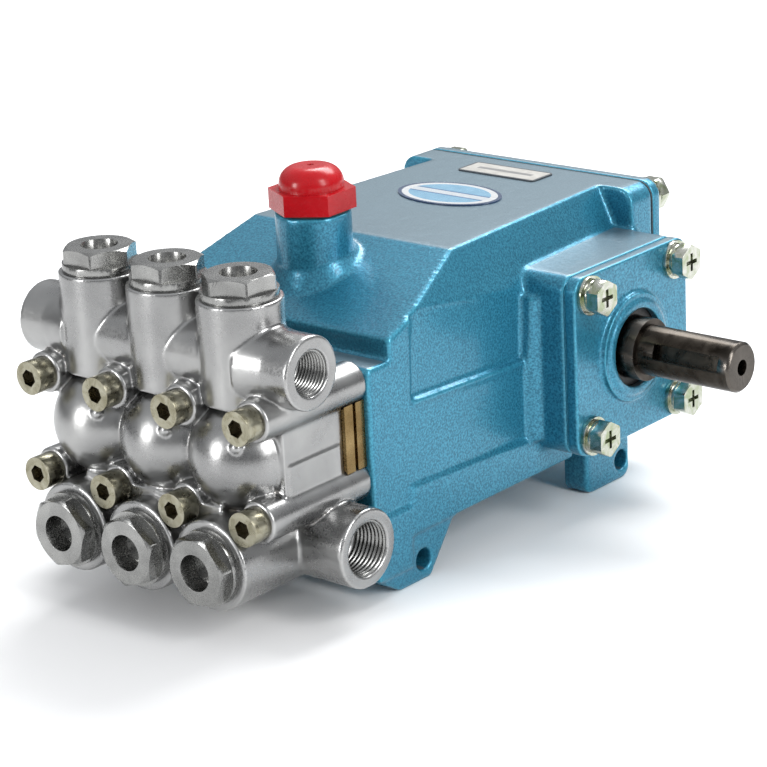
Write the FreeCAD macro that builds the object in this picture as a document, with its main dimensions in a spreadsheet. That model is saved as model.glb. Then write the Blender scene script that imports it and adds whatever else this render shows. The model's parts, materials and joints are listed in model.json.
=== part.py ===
import FreeCAD, Part
import math
import os
import re
import Sketcher
from FreeCAD import Placement, Rotation, Vector

os.makedirs("parts", exist_ok=True)
doc = FreeCAD.newDocument("triplex_pump")

# ---------------------------------------------------------------------------------------------
# Driving dimensions (mm, degrees). X runs along the crankshaft, -Y toward the manifold, Z up.
# Pieces are drawn from the base plane below the crankshaft axis, then moved by FRAME_SHIFT so
# that the finished pump is centred on the origin.
# ---------------------------------------------------------------------------------------------
DIMENSIONS = {
    # crank train
    "cylinder_pitch": 35.0, "axis_height": 67.0, "crank_throw": 9.0, "rod_length": 58.0,
    "crankpin_radius": 14.0, "crankpin_width": 22.0, "web_radius": 23.8,
    "journal_radius": 15.0, "seal_land_radius": 12.5, "shaft_radius": 10.0,
    "shaft_length": 42.5, "shaft_centre_radius": 3.2, "running_clearance": 0.04,
    "key_width": 6.0, "key_height": 6.0, "key_length": 30.0, "key_end_gap": 5.0,
    # connecting rods
    "big_end_radius": 20.0, "small_end_radius": 11.0, "wrist_pin_radius": 6.0,
    "small_end_width": 14.0, "shank_width": 12.0, "shank_depth": 11.0, "bolt_offset": 17.2,
    "bolt_radius": 2.2,
    # crossheads, plunger rods and plungers, measured forward from the wrist pin
    "crosshead_radius": 15.0, "fork_slot": 15.0, "fork_back": 11.5, "fork_depth": 30.5,
    "plunger_rod_radius": 8.0, "stud_radius": 4.0, "plunger_radius": 10.0,
    "retainer_head": 5.0, "retainer_radius": 8.5,
    # crankcase
    "case_front": 135.0, "case_rear": 48.0, "case_top": 120.0,
    "case_wall": 6.0, "underside_height": 20.5, "slope_start": 122.5, "slope_start_height": 99.5,
    "slope_end": 71.0, "front_rim_height": 90.0, "foot_length": 31.5, "foot_width": 22.0,
    "rear_foot_front": 3.0, "rear_foot_rear": 27.0, "rear_foot_width": 12.0,
    "rear_foot_corner": 4.0, "skirt_end": 14.0, "foot_hole_height": 8.0,
    "front_hole_y": 107.5, "rear_hole_y": 21.5, "foot_hole_radius": 4.25, "foot_hole_depth": 16.0,
    "side_lean": 24.8, "side_foot_height": 97.0,
    "rear_flange": 14.7, "rear_flange_bottom": 24.0,
    "flange_corner": 7.0, "guide_back": 79.5, "oil_seal_back": 113.0, "oil_seal_length": 6.0,
    "oil_seal_radius": 14.5, "panel_depth": 2.0, "panel_front": 110.5, "panel_rear": 42.0,
    "ridge_height": 71.0, "ridge_drop": 3.4, "ledge_height": 39.5, "skirt_step": 1.3,
    # bearing bosses and covers
    "boss_half_y": 38.0, "boss_half_z": 36.6, "boss_chamfer": 7.0, "gasket": 0.5,
    "spigot_depth": 2.0, "cover_thickness": 5.0, "cover_ring": 2.2, "cover_ring_radius": 22.0,
    "cover_bore": 15.8, "cover_screw_pitch": 57.4, "bearing_outer": 31.0, "bearing_width": 16.0,
    "bearing_inner_outer": 20.5, "bearing_outer_inner": 25.5, "bearing_ball": 4.4,
    "seal_outer": 19.0, "seal_width": 7.0, "cover_screw_radius": 4.0, "cover_screw_length": 16.0,
    "cover_head_flats": 12.8, "cover_head_height": 5.3, "washer_radius": 7.8,
    "washer_thickness": 1.8,
    # rear cover
    "rear_cover_thickness": 5.0, "rear_screw_inset": 8.5,
    # filler neck and cap
    "neck_y": 92.0, "neck_radius": 14.8, "neck_top": 133.4, "neck_bore": 9.0,
    "flare_height": 16.0, "flare_spread": 12.0, "flare_lean": 13.0,
    "cap_flats": 29.5, "cap_hex_height": 8.0, "cap_dome_radius": 12.6, "cap_shoulder": 7.0,
    "cap_height": 16.8,
    "cap_spigot": 8.6, "cap_spigot_length": 12.0, "cap_seal": 1.0,
    # seal case plate and seals
    "seal_case_front": 146.0, "seal_case_half_z": 13.4, "low_seal_back": 139.0,
    "low_seal_radius": 12.2,
    "high_seal_length": 6.0, "high_seal_radius": 15.0,
    # manifold
    "discharge_y": 172.0, "discharge_tower_radius": 16.0, "tower_top": 125.5,
    "tower_rise": 20.0, "web_front": 183.0, "web_top": 119.0,
    "discharge_height": 102.0, "discharge_boss_radius": 13.8,
    "discharge_thread_radius": 8.5, "discharge_thread_depth": 14.0, "discharge_gallery": 6.5,
    "front_plane": 178.0, "dome_y": 174.0, "dome_radius": 21.0, "chamber_radius": 11.5,
    "chamber_front": 189.0, "lower_step": 8.0, "lower_top": 50.0,
    "inlet_height": 30.2, "inlet_boss_radius": 17.4, "inlet_boss_front": 196.8,
    "inlet_y": 152.5, "inlet_port_radius": 15.2, "inlet_thread_radius": 10.6,
    "inlet_thread_depth": 16.0, "inlet_gallery": 9.0, "column_radius": 8.0,
    "screw_seat": 189.0, "screw_rise": 19.0, "screw_radius": 4.0,
    "screw_clearance": 0.3, "screw_head_radius": 6.5, "screw_head_height": 8.0,
    "screw_depth": 15.0, "thread_gap": 0.1,
    "pad_length": 28.0, "pad_width": 13.0, "pad_raise": 0.6,
    # valves
    "plug_flats": 24.5, "discharge_hex_height": 6.0, "inlet_hex_height": 5.0,
    "plug_corner": 13.9, "plug_flange_radius": 14.4, "plug_flange": 3.0,
    "plug_recess_radius": 7.0, "plug_recess_depth": 8.0, "plug_thread_radius": 11.9,
    "plug_thread_length": 4.8, "plug_seal_length": 2.6, "valve_bore": 12.0, "valve_seat_thickness": 5.0,
    "valve_seat_bore": 6.5, "valve_disc_radius": 8.5, "valve_disc_thickness": 2.0,
    "valve_stem_radius": 2.5, "valve_stem_length": 6.0,
    "valve_passage": 8.0, "inlet_passage": 6.5, "discharge_seat_height": 90.0,
    "inlet_seat_back": 167.0, "inlet_riser_y": 176.0, "spring_radius": 6.4, "spring_wire": 0.7,
    "plug_seal_wire": 1.2,
    # trim
    "badge_long": 24.0, "badge_short": 15.5, "badge_y": 9.0, "label_long": 40.0,
    "label_short": 14.5, "label_y": 30.5, "trim_thickness": 0.6,
    "sight_glass_radius": 10.0, "sight_glass_height": 62.0, "drain_height": 38.0,
    "drain_radius": 6.5, "drain_stand_off": 8.0,
}
# Sizes that follow from the ones above, so a change of pitch or stroke carries through.
DERIVED = {
    "case_half_width": "cylinder_pitch + 26", "side_top_front": "cylinder_pitch + 15.5",
    "side_top_rear": "cylinder_pitch + 8.5", "rear_flange_half": "cylinder_pitch + 25",
    "boss_face": "cylinder_pitch + 42.5", "shaft_shoulder": "boss_face + 14",
    "shaft_half_length": "shaft_shoulder + shaft_length",
    "seal_case_half": "cylinder_pitch + 23.5", "flank_half": "cylinder_pitch + 22",
    "discharge_face": "cylinder_pitch + 32.5", "inlet_face": "cylinder_pitch + 37.5",
    "guide_end": "oil_seal_back - 1.5 - rod_length - crank_throw",
    "rod_end": "oil_seal_back + oil_seal_length - rod_length + crank_throw + 1",
    "plunger_length": "chamber_front - 2 - rod_length - crank_throw - rod_end - retainer_head",
}
SIZES = {**DIMENSIONS, **{alias: "=" + text for alias, text in DERIVED.items()}}
sheet = doc.addObject("Spreadsheet::Sheet", "Dimensions")
for row, (alias, size) in enumerate(SIZES.items(), start=1):
    sheet.set(f"A{row}", alias)
    sheet.set(f"B{row}", str(size))
    sheet.setAlias(f"B{row}", alias)
doc.recompute()

UP = Rotation()
ALONG_X = Rotation(Vector(0, 1, 0), 90)
ALONG_Y = Rotation(Vector(1, 0, 0), -90)
AXES = {"x": ALONG_X, "y": ALONG_Y, "z": UP}
MIRRORS = (-1, 1)
CYLINDERS = (-1, 0, 1)
COLUMNS = (-1.5, -0.5, 0.5, 1.5)
CRANK_ANGLES = {-1: 0.0, 0: 120.0, 1: 240.0}
FRAME_SHIFT = ("inlet_boss_front / 2 + plug_flange / 2 + inlet_hex_height / 2"
               " - case_rear / 2 - gasket / 2 - rear_cover_thickness / 2 - drain_stand_off / 2")


def expression(text):
    """A size given as text, with every sheet alias in it pointed at the sheet."""
    return re.sub(r"[a-z][a-z_]+", lambda word: "Dimensions." + word.group(0)
                  if word.group(0) in SIZES else word.group(0), str(text))


def value(text):
    """The same size as a plain number, for shapes that cannot hold an expression."""
    names = {name: sheet.get(name) for name in SIZES}
    total = 0.0
    for term in re.findall(r"[+-]?[^+-]+", str(text).replace(" ", "")):
        product, sign = 1.0, -1.0 if term.startswith("-") else 1.0
        for factor in term.lstrip("+-").split("*"):
            upper, *lower = factor.split("/")
            product *= names[upper] if upper in names else float(upper)
            for divisor in lower:
                product /= names[divisor] if divisor in names else float(divisor)
        total += sign * product
    return total


def bind(item, prop, text):
    item.setExpression(prop, expression(text))


def place(item, at, rotation=UP):
    item.Placement = Placement(Vector(), rotation)
    for letter, text in zip("xyz", at):
        bind(item, f"Placement.Base.{letter}", text)
    return item


def box(size, at, rotation=UP):
    """Box from its low corner."""
    item = doc.addObject("Part::Box", "Box")
    for prop, text in zip(("Length", "Width", "Height"), size):
        bind(item, prop, text)
    return place(item, at, rotation)


def cylinder(radius, length, at, axis="z"):
    """Cylinder from its start centre, running up the named axis."""
    item = doc.addObject("Part::Cylinder", "Cylinder")
    bind(item, "Radius", radius)
    bind(item, "Height", length)
    return place(item, at, AXES[axis])


def cone(radius_low, radius_high, length, at, axis="z"):
    item = doc.addObject("Part::Cone", "Cone")
    bind(item, "Radius1", radius_low)
    bind(item, "Radius2", radius_high)
    bind(item, "Height", length)
    return place(item, at, AXES[axis])


def sphere(radius, at):
    item = doc.addObject("Part::Sphere", "Sphere")
    bind(item, "Radius", radius)
    return place(item, at)


def torus(ring, wire, at, axis="z"):
    item = doc.addObject("Part::Torus", "Torus")
    bind(item, "Radius1", ring)
    bind(item, "Radius2", wire)
    return place(item, at, AXES[axis])


def hexagon(flats, length, at, axis="z", turn=0.0):
    """Hexagonal prism measured across its flats."""
    item = doc.addObject("Part::Prism", "Hexagon")
    item.Polygon = 6
    bind(item, "Circumradius", f"({flats}) / 1.7320508")
    bind(item, "Height", length)
    return place(item, at, AXES[axis].multiply(Rotation(Vector(0, 0, 1), turn)))


def fuse(*items):
    if len(items) == 1:
        return items[0]
    item = doc.addObject("Part::MultiFuse", "Fuse")
    item.Shapes = list(items)
    item.Refine = True
    return item


def cut(base, *tools):
    item = doc.addObject("Part::Cut", "Cut")
    item.Base = base
    item.Tool = fuse(*tools)
    item.Refine = True
    return item


def common(first, second):
    item = doc.addObject("Part::MultiCommon", "Common")
    item.Shapes = [first, second]
    return item


def group(items):
    item = doc.addObject("Part::Compound", "Group")
    item.Links = list(items)
    return item


def ring(outer, inner, length, at, axis="z"):
    """Plain ring; the bore tool overshoots both faces by one millimetre."""
    start = list(at)
    index = "xyz".index(axis)
    start[index] = f"{at[index]} - 1"
    return cut(cylinder(outer, length, at, axis), cylinder(inner, f"{length} + 2", start, axis))


def rounded_box(size, at, radius, along="y"):
    """Box whose edges running along one axis are rounded."""
    base = box(size, at)
    doc.recompute()
    item = doc.addObject("Part::Fillet", "Rounded")
    item.Base = base
    axis = {"x": Vector(1, 0, 0), "y": Vector(0, 1, 0), "z": Vector(0, 0, 1)}[along]
    edges = [number for number, edge in enumerate(base.Shape.Edges, start=1)
             if abs(edge.tangentAt(edge.FirstParameter).dot(axis)) > 0.99]
    item.Edges = [(number, value(radius), value(radius)) for number in edges]
    return item


def rounded_top(base, radius):
    """Upright cylinder with its top edge rounded."""
    doc.recompute()
    item = doc.addObject("Part::Fillet", "Crown")
    item.Base = base
    heights = [edge.CenterOfMass.z for edge in base.Shape.Edges]
    item.Edges = [(heights.index(max(heights)) + 1, value(radius), value(radius))]
    return item


nodes = []


def node(item, name):
    """Name a finished piece and move it from the crankshaft's plane to the library frame."""
    piece = place(group([item]), ("0", FRAME_SHIFT, "0"))
    piece.Label = name
    nodes.append(piece)


def profile_body(name, points, half_depth):
    """PartDesign body: closed profile on the YZ plane, padded both ways along X."""
    body = doc.addObject("PartDesign::Body", name)
    sketch = body.newObject("Sketcher::SketchObject", name + "_sketch")
    plane = next(item for item in body.Origin.OriginFeatures if item.Role == "YZ_Plane")
    sketch.AttachmentSupport = [(plane, "")]
    sketch.MapMode = "FlatFace"
    spots = [Vector(value(y), value(z), 0) for y, z in points]
    count = len(spots)
    for start, end in zip(spots, spots[1:] + spots[:1]):
        sketch.addGeometry(Part.LineSegment(start, end), False)
    for index in range(count):
        after = (index + 1) % count
        sketch.addConstraint(Sketcher.Constraint("Coincident", index, 2, after, 1))
    for index, (y, z) in enumerate(points):
        for kind, text in (("DistanceX", y), ("DistanceY", z)):
            number = sketch.addConstraint(
                Sketcher.Constraint(kind, -1, 1, index, 1, value(text)))
            sketch.setExpression(f"Constraints[{number}]", expression(text))
    pad = body.newObject("PartDesign::Pad", name + "_pad")
    pad.Profile = sketch
    pad.Midplane = True
    bind(pad, "Length", f"2 * ({half_depth})")
    sketch.Visibility = False
    return body


# ---------------------------------------------------------------------------------------------
# Crankcase
# ---------------------------------------------------------------------------------------------
def side_wedge(side):
    """Cutting block whose inner face is the leaning, tapering upper side wall."""
    drop = (value("side_top_front") - value("side_top_rear")) \
        / (value("slope_end") + value("case_rear") - value("rear_flange"))
    lean = math.tan(math.radians(value("side_lean")))
    normal = Vector(side, drop, lean).normalize()
    block = doc.addObject("Part::Box", "Wedge")
    block.Length, block.Width, block.Height = 60, 500, 300
    turn = Rotation(Vector(1, 0, 0), normal)
    through = Vector(side * value("side_top_front"), -value("slope_end"), value("case_top"))
    block.Placement = Placement(through - turn.multVec(Vector(0, 250, 150)), turn)
    return block


def crankcase_body():
    profile = [
        ("-case_front", "8"), ("-case_front", "front_rim_height"),
        ("-case_front + 1.5", "front_rim_height + 1.5"), ("-slope_start", "front_rim_height + 1.5"),
        ("-slope_start", "slope_start_height"), ("-slope_end", "case_top"),
        ("case_rear - rear_flange + 2", "case_top"),
        ("case_rear - rear_flange + 2", "underside_height"),
        ("-case_front + foot_length + 16", "underside_height"),
        ("-case_front + foot_length", "0"), ("-case_front + 13", "0"),
    ]
    return profile_body("crankcase_profile", profile, "case_half_width")


def crankcase_foot_rear(side):
    start = "case_half_width - rear_foot_width" if side > 0 else "-case_half_width"
    return rounded_box(("rear_foot_width", "rear_foot_front + rear_foot_rear", "underside_height + 6"),
                       (start, "-rear_foot_front", "0"), "rear_foot_corner", "x")


def crankcase_pads(side):
    """Proud foot pads, skirt, ridge and pillar on one side wall."""
    face = "case_half_width - 3" if side > 0 else "-case_half_width - skirt_step"
    items = [
        box(("3 + skirt_step", "20", "24"), (face, "-case_front", "8")),
        cylinder("8", "side_foot_height - ledge_height + 2",
                 (f"{side} * (case_half_width - 2.5)", "-boss_half_y + 3", "ledge_height - 4")),
    ]
    long = "panel_front - skirt_end + 4"
    tilted = box(("3 + skirt_step", long, "ledge_height - underside_height + 4"),
                 (face, "-panel_front - 4", "underside_height - 4"), Rotation(Vector(1, 0, 0), -2.5))
    level = box(("3 + skirt_step", long, "40"), (face, "-panel_front - 4", "underside_height"))
    items.append(common(tilted, level))
    return items


def crankcase_panel(side):
    """Shallow panel above the dipping ridge line."""
    start = "case_half_width - panel_depth" if side > 0 else "-case_half_width - 10"
    dip = -math.degrees(math.atan2(value("ridge_drop"), value("panel_front - panel_rear")))
    return box(("panel_depth + 10", "panel_front - panel_rear", "40"),
               (start, "-panel_front", "ridge_height + 1.5"), Rotation(Vector(1, 0, 0), dip))


def crankcase_ridge(side):
    start = "case_half_width - panel_depth" if side > 0 else "-case_half_width - 0.8"
    dip = -math.degrees(math.atan2(value("ridge_drop"), value("panel_front - panel_rear")))
    return box(("panel_depth + 0.8", "panel_front - panel_rear", "1.8"),
               (start, "-panel_front", "ridge_height"), Rotation(Vector(1, 0, 0), dip))


def bearing_boss(side):
    size = ("boss_face - case_half_width + 14", "2 * boss_half_y", "2 * boss_half_z")
    start = "case_half_width - 14" if side > 0 else "-boss_face"
    return rounded_box(size, (start, "-boss_half_y", "axis_height - boss_half_z"),
                       "boss_chamfer", "x")


def cavity():
    """Oil space: crank chamber, slots over and under the guides, rear service opening."""
    inner = "case_half_width - case_wall"
    main = box((f"2 * ({inner})", "guide_back + case_rear - rear_flange",
                "case_top - underside_height - 2 * case_wall"),
               (f"-({inner})", "-guide_back", "underside_height + case_wall"))
    chamber = cut(main, *[shifted_wedge(side) for side in MIRRORS])
    upper = box((f"2 * ({inner}) - 16", "slope_start - guide_back - 6", "8"),
                (f"-({inner}) + 8", "-slope_start + 8", "axis_height + crosshead_radius + 7"))
    lower = box((f"2 * ({inner}) - 12", "case_front - guide_back - 8", "12"),
                (f"-({inner}) + 6", "-case_front + 10", "underside_height + case_wall"))
    opening = box(("2 * rear_flange_half - 32", "rear_flange + 3",
                   "case_top - rear_flange_bottom - 32"),
                  ("-rear_flange_half + 16", "case_rear - rear_flange - 2", "rear_flange_bottom + 16"))
    return fuse(chamber, upper, lower, opening)


def shifted_wedge(side):
    """The side wedge moved inward by the wall, so the oil space follows the leaning wall."""
    block = side_wedge(side)
    base = block.Placement.Base - Vector(side * (value("case_wall") + 1.5), 0, 0)
    block.Placement = Placement(base, block.Placement.Rotation)
    return block


def foot_holes(side):
    start = "case_half_width - foot_hole_depth" if side > 0 else "-case_half_width - 5"
    return [cylinder("foot_hole_radius", "foot_hole_depth + 5", (start, y, "foot_hole_height"), "x")
            for y in ("-front_hole_y", "rear_hole_y")]


def front_foot_relief():
    """The front foot is two feet: the middle between them is open."""
    return box(("2 * (case_half_width - foot_width)", "case_front", "underside_height"),
               ("-case_half_width + foot_width", "-case_front - 5", "0"))


def cover_screw_spots():
    """Cover screw centres as (y, z) texts around the crankshaft axis."""
    half = "cover_screw_pitch / 2"
    return [(f"{a} * {half}", f"axis_height + {b} * {half}") for a in MIRRORS for b in MIRRORS]


def rear_screw_spots():
    wide = "rear_flange_half - rear_screw_inset"
    low = "rear_flange_bottom + rear_screw_inset"
    high = "case_top - rear_screw_inset"
    middle = "rear_flange_bottom / 2 + case_top / 2"
    return [(f"{side} * ({wide})", z) for side in MIRRORS for z in (low, middle, high)]


def make_crankcase():
    shell = cut(crankcase_body(), *[side_wedge(side) for side in MIRRORS])
    flange = rounded_box(("2 * rear_flange_half", "rear_flange", "case_top - rear_flange_bottom"),
                         ("-rear_flange_half", "case_rear - rear_flange", "rear_flange_bottom"),
                         "flange_corner")
    neck = cylinder("neck_radius", "neck_top - 100", ("0", "-neck_y", "100"))
    foot = ("0", "-neck_y + 3.5", "case_top - 19")
    flare = place(cone("neck_radius + flare_spread", "neck_radius", "flare_height", foot),
                  foot, Rotation(Vector(1, 0, 0), value("flare_lean")))
    parts = [shell, flange, neck, flare]
    for side in MIRRORS:
        parts += [bearing_boss(side), crankcase_foot_rear(side)] + crankcase_pads(side)
    outer = cut(fuse(*parts), *[crankcase_panel(side) for side in MIRRORS], front_foot_relief())
    outer = fuse(outer, *[crankcase_ridge(side) for side in MIRRORS])
    tools = [cavity()]
    tools.append(cylinder("bearing_outer + 0.02", "2 * boss_face + 2",
                          ("-boss_face - 1", "0", "axis_height"), "x"))
    tools.append(cylinder("neck_bore", "neck_top",
                          ("0", "-neck_y", "axis_height + crosshead_radius + 9")))
    for place_x in CYLINDERS:
        x = f"{place_x} * cylinder_pitch"
        tools += [
            cylinder("crosshead_radius + running_clearance", "oil_seal_back - guide_back + 2",
                     (x, "-oil_seal_back", "axis_height"), "y"),
            cylinder("oil_seal_radius + 0.02", "oil_seal_length",
                     (x, "-oil_seal_back - oil_seal_length", "axis_height"), "y"),
            cylinder("plunger_radius + 2.5", "case_front - oil_seal_back",
                     (x, "-case_front - 1", "axis_height"), "y"),
        ]
    for column in COLUMNS:
        for side in MIRRORS:
            tools.append(cylinder("screw_radius + thread_gap", "screw_depth + 2",
                                  (f"{column} * cylinder_pitch", "-case_front - 1",
                                   f"axis_height + {side} * screw_rise"), "y"))
    for side in MIRRORS:
        start = "boss_face - cover_screw_length" if side > 0 else "-boss_face - 1"
        tools += [cylinder("cover_screw_radius + thread_gap", "cover_screw_length + 1", (start, y, z), "x")
                  for y, z in cover_screw_spots()]
        tools += foot_holes(side)
    tools += [cylinder("cover_screw_radius + thread_gap", "13", (x, "case_rear - 12", z), "y")
              for x, z in rear_screw_spots()]
    node(cut(outer, *tools), "crankcase")


# ---------------------------------------------------------------------------------------------
# Rear cover, bearing covers, screws
# ---------------------------------------------------------------------------------------------
def make_rear_cover():
    size = ("2 * rear_flange_half", "rear_cover_thickness", "case_top - rear_flange_bottom")
    plate = rounded_box(size, ("-rear_flange_half", "case_rear + gasket", "rear_flange_bottom"),
                        "flange_corner")
    bulge = rounded_box(("2 * rear_flange_half - 34", "rear_cover_thickness + 3",
                         "case_top - rear_flange_bottom - 32"),
                        ("-rear_flange_half + 17", "case_rear + gasket", "rear_flange_bottom + 16"), "5")
    holes = [cylinder("cover_screw_radius + screw_clearance", "rear_cover_thickness + 4",
                      (x, "case_rear - 1", z), "y") for x, z in rear_screw_spots()]
    holes.append(cylinder("sight_glass_radius - 2", "20", ("0", "case_rear - 1", "sight_glass_height"), "y"))
    holes.append(cylinder("sight_glass_radius + 0.1", "20",
                          ("0", "case_rear + gasket + 3", "sight_glass_height"), "y"))
    holes.append(cylinder("drain_radius + 0.1", "20", ("0", "case_rear - 1", "drain_height"), "y"))
    node(cut(fuse(plate, bulge), *holes), "rear_cover")

    outer = rounded_box(("2 * rear_flange_half - 0.6", "gasket", "case_top - rear_flange_bottom - 0.6"),
                        ("-rear_flange_half + 0.3", "case_rear", "rear_flange_bottom + 0.3"),
                        "flange_corner")
    inner = box(("2 * rear_flange_half - 26", "gasket + 2", "case_top - rear_flange_bottom - 26"),
                ("-rear_flange_half + 13", "case_rear - 1", "rear_flange_bottom + 13"))
    gaps = [cylinder("cover_screw_radius + screw_clearance", "gasket + 2", (x, "case_rear - 1", z), "y")
            for x, z in rear_screw_spots()]
    node(cut(outer, inner, *gaps), "rear_cover_seal")

    face = "case_rear + gasket + rear_cover_thickness"
    heads = [screw_stack(x, face, z, "y", 1, "11 + gasket + rear_cover_thickness")
             for x, z in rear_screw_spots()]
    node(group([item for stack in heads for item in stack]), "rear_cover_screws")

    window = cylinder("sight_glass_radius", "8", ("0", "case_rear + gasket + 3", "sight_glass_height"), "y")
    recess = cylinder("sight_glass_radius - 3", "5",
                      ("0", "case_rear + gasket + 9.5", "sight_glass_height"), "y")
    node(cut(window, recess), "sight_glass")
    thread = cylinder("drain_radius", "rear_cover_thickness + 3",
                      ("0", "case_rear + gasket", "drain_height"), "y")
    head = hexagon("14", "5", ("0", "case_rear + gasket + rear_cover_thickness + 3", "drain_height"), "y")
    node(fuse(thread, head), "drain_plug")


def screw_stack(x, y, z, axis, side, shank):
    """Hexagon screw with cross recess over a spring washer and a flat washer."""
    spot = {"x": x, "y": y, "z": z}
    across = [letter for letter in "xyz" if letter != axis]
    top = "2 * washer_thickness"

    def at(offset, length):
        here = dict(spot)
        here[axis] = f"{spot[axis]} + ({offset})" if side > 0 \
            else f"{spot[axis]} - ({offset}) - ({length})"
        return (here["x"], here["y"], here["z"])

    flat = ring("washer_radius", "cover_screw_radius + screw_clearance", "washer_thickness",
                at("0", "washer_thickness"), axis)
    spring = ring("washer_radius - 1.2", "cover_screw_radius + screw_clearance",
                  "washer_thickness", at("washer_thickness", "washer_thickness"), axis)
    head_at = at(top, "cover_head_height")
    head = common(hexagon("cover_head_flats", "cover_head_height", head_at, axis),
                  cylinder("cover_head_flats * 0.555", "cover_head_height", head_at, axis))
    rod = cylinder("cover_screw_radius", f"{shank} + {top}",
                   at(f"-({shank})", f"{shank} + {top}"), axis)
    arms = []
    for wide, tall in (("7.2", "1.6"), ("1.6", "7.2")):
        size = {axis: "2.2", across[0]: wide, across[1]: tall}
        low = dict(zip("xyz", at(f"{top} + cover_head_height - 2", "2.2")))
        for letter in across:
            low[letter] = f"{low[letter]} - {size[letter]} / 2"
        arms.append(box([size[letter] for letter in "xyz"], [low[letter] for letter in "xyz"]))
    return [flat, spring, cut(fuse(head, rod), *arms)]


def along(side, near, far):
    """Start and length texts for a piece that spans |x| from near to far on one side."""
    return (near if side > 0 else f"-({far})"), f"{far} - ({near})"


def side_cylinder(side, radius, near, far, y="0", z="axis_height"):
    start, length = along(side, near, far)
    return cylinder(radius, length, (start, y, z), "x")


BEARING_FACE = "boss_face - spigot_depth"
COVER_BACK = "boss_face + gasket"
COVER_FACE = "boss_face + gasket + cover_thickness"


def make_bearing_cover(side):
    name = "bearing_cover_right" if side > 0 else "bearing_cover_left"
    start, length = along(side, COVER_BACK, COVER_FACE)
    plate = rounded_box((length, "2 * boss_half_y", "2 * boss_half_z"),
                        (start, "-boss_half_y", "axis_height - boss_half_z"), "boss_chamfer", "x")
    collar = side_cylinder(side, "cover_ring_radius", COVER_BACK, f"{COVER_FACE} + cover_ring")
    step = side_cylinder(side, "cover_ring_radius - 3", COVER_FACE, f"{COVER_FACE} + cover_ring + 1")
    spigot = side_cylinder(side, "bearing_outer - 0.1", BEARING_FACE, f"{COVER_BACK} + 1")
    bore = side_cylinder(side, "cover_bore", f"{BEARING_FACE} - 1", f"{COVER_FACE} + 9")
    pocket = side_cylinder(side, "seal_outer + 0.02", f"{BEARING_FACE} - 1",
                           f"{BEARING_FACE} + seal_width")
    holes = [side_cylinder(side, "cover_screw_radius + screw_clearance", f"{BEARING_FACE} - 1",
                           f"{COVER_FACE} + 2", y, z) for y, z in cover_screw_spots()]
    node(cut(fuse(plate, collar, step, spigot), bore, pocket, *holes), name)


def make_bearing_cover_fittings():
    gaskets, screws, shaft_seals = [], [], []
    for side in MIRRORS:
        start, length = along(side, "boss_face", COVER_BACK)
        sheet_cut = [side_cylinder(side, "cover_screw_radius + screw_clearance", "boss_face - 1",
                                   f"{COVER_BACK} + 1", y, z) for y, z in cover_screw_spots()]
        plate = rounded_box((length, "2 * boss_half_y - 0.6", "2 * boss_half_z - 0.6"),
                            (start, "-boss_half_y + 0.3", "axis_height - boss_half_z + 0.3"),
                            "boss_chamfer", "x")
        opening = side_cylinder(side, "bearing_outer", "boss_face - 1", f"{COVER_BACK} + 1")
        gaskets.append(cut(plate, opening, *sheet_cut))
        face = COVER_FACE if side > 0 else f"-({COVER_FACE})"
        for y, z in cover_screw_spots():
            screws += screw_stack(face, y, z, "x", side, "cover_screw_length")
        start, length = along(side, BEARING_FACE, f"{BEARING_FACE} + seal_width")
        shaft_seals.append(ring("seal_outer", "seal_land_radius + running_clearance", length,
                                (start, "0", "axis_height"), "x"))
    node(group(gaskets), "bearing_cover_seals")
    node(group(screws), "bearing_cover_screws")
    node(group(shaft_seals), "shaft_seals")


# ---------------------------------------------------------------------------------------------
# Crankshaft, bearings and connecting rods
# ---------------------------------------------------------------------------------------------
def make_crankshaft():
    bearing_back = f"{BEARING_FACE} - bearing_width"
    web_end = "cylinder_pitch + crankpin_width / 2"
    pieces, tools = [], []
    for side in MIRRORS:
        pieces += [
            side_cylinder(side, "web_radius", web_end, f"{web_end} + 8"),
            side_cylinder(side, "journal_radius + 3", f"{web_end} + 7", bearing_back),
            side_cylinder(side, "journal_radius", f"{bearing_back} - 1", BEARING_FACE),
            side_cylinder(side, "seal_land_radius", f"{BEARING_FACE} - 1", "shaft_shoulder"),
            turned(side_cylinder(side, "shaft_radius", "shaft_shoulder - 1", "shaft_half_length - 1")),
            side_cylinder(side, "web_radius", "crankpin_width / 2",
                          "cylinder_pitch - crankpin_width / 2"),
        ]
        start, length = along(side, "shaft_half_length - 1", "shaft_half_length")
        low, high = ("shaft_radius", "shaft_radius - 1")[::side]
        pieces.append(cone(low, high, length, (start, "0", "axis_height"), "x"))
        tools.append(side_cylinder(side, "shaft_centre_radius", "shaft_half_length - 9",
                                   "shaft_half_length + 1"))
        tools.append(keyway(side))
    for place_x, (y, z) in crankpins():
        pieces.append(cylinder("crankpin_radius", "crankpin_width + 2",
                               (f"{place_x} * cylinder_pitch - crankpin_width / 2 - 1", y, z), "x"))
    node(cut(fuse(*pieces), *tools), "crankshaft")


def turned(item):
    """The same cylinder with its seam turned away from the keyway."""
    item.Placement = Placement(item.Placement.Base, ALONG_X.multiply(Rotation(Vector(0, 0, 1), 37.5)))
    return item


def keyway(side):
    """Keyway opening on the side of the shaft that faces the manifold at rest."""
    start, length = along(side, "shaft_half_length - key_end_gap - key_length",
                          "shaft_half_length - key_end_gap")
    turn = Rotation(Vector(1, 0, 0), 72)
    slot = box((length, "key_width", "key_height"), ("0", "0", "0"), turn)
    bind(slot, "Placement.Base.x", start)
    reach = turn.multVec(Vector(0, -0.5 * value("key_width"), value("shaft_radius") - 3.5))
    bind(slot, "Placement.Base.y", f"{reach.y:.4f}")
    bind(slot, "Placement.Base.z", f"axis_height + {reach.z:.4f}")
    return slot


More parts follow.
